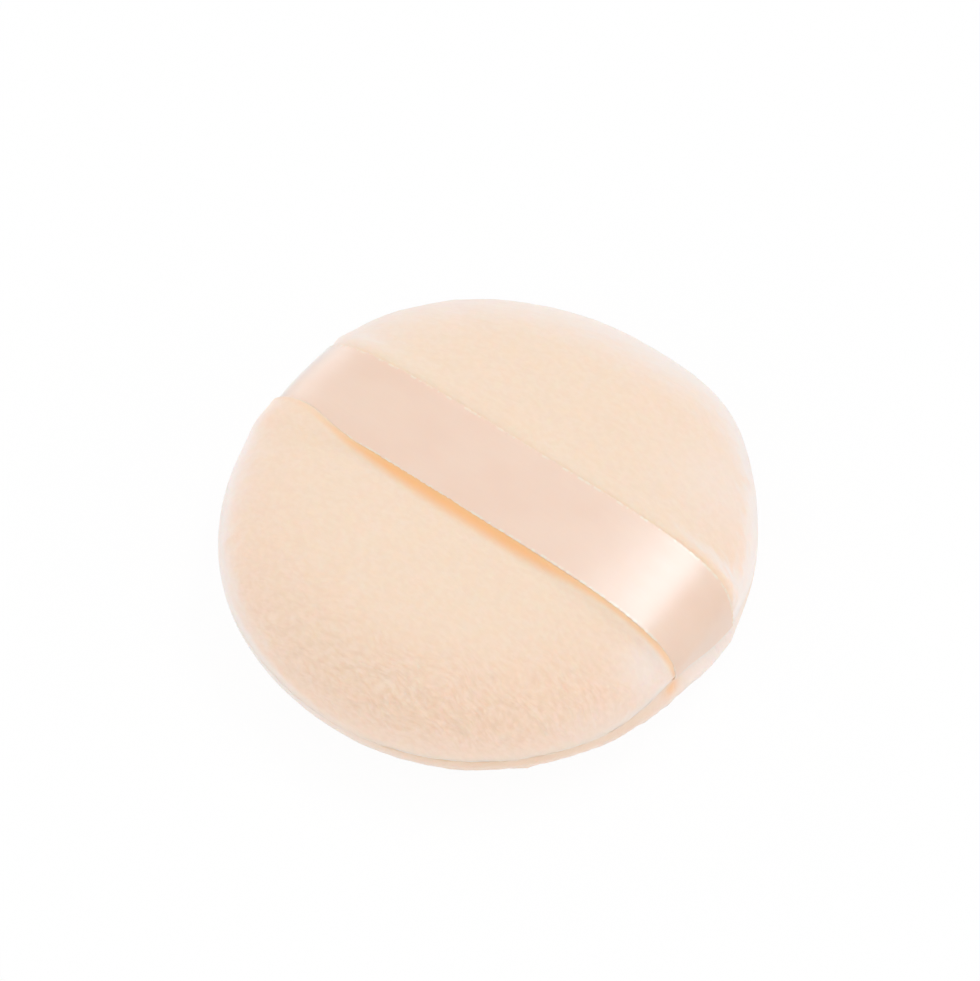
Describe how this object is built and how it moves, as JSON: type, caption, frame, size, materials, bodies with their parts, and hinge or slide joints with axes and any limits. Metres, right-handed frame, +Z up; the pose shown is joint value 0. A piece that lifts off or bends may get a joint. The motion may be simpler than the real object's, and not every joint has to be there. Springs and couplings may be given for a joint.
{
  "type": "powder puff",
  "caption": "Round velour powder puff with a sponge core and a satin ribbon across its grip side for the fingers.",
  "frame": {"origin": "middle of the flat patch of the powdering face, on the surface the puff lies on", "axes": "+Z up through the crown, +X along the ribbon"},
  "size_m": [0.0768, 0.08, 0.0245],
  "materials": {
    "velour": "short brushed pile, peach",
    "sponge": "open-cell foam",
    "satin": "satin weave, pale pink",
    "thread": "spun polyester thread"
  },
  "bodies": {
    "pad": {"upper_cover": "velour", "lower_cover": "velour", "foam_core": "sponge", "needle_thread": "thread", "bobbin_thread": "thread", "right_ribbon_tack": "thread", "left_ribbon_tack": "thread", "closing_thread": "thread"},
    "ribbon": {"ribbon_band": "satin"}
  },
  "joints": [
    {"name": "ribbon_lift", "type": "slide", "parent": "pad", "child": "ribbon", "axis": [0, 0, 1], "range_m": [0, 0.0095], "stiffness_N_per_m": 4, "deforming": ["ribbon_band"]}
  ]
}
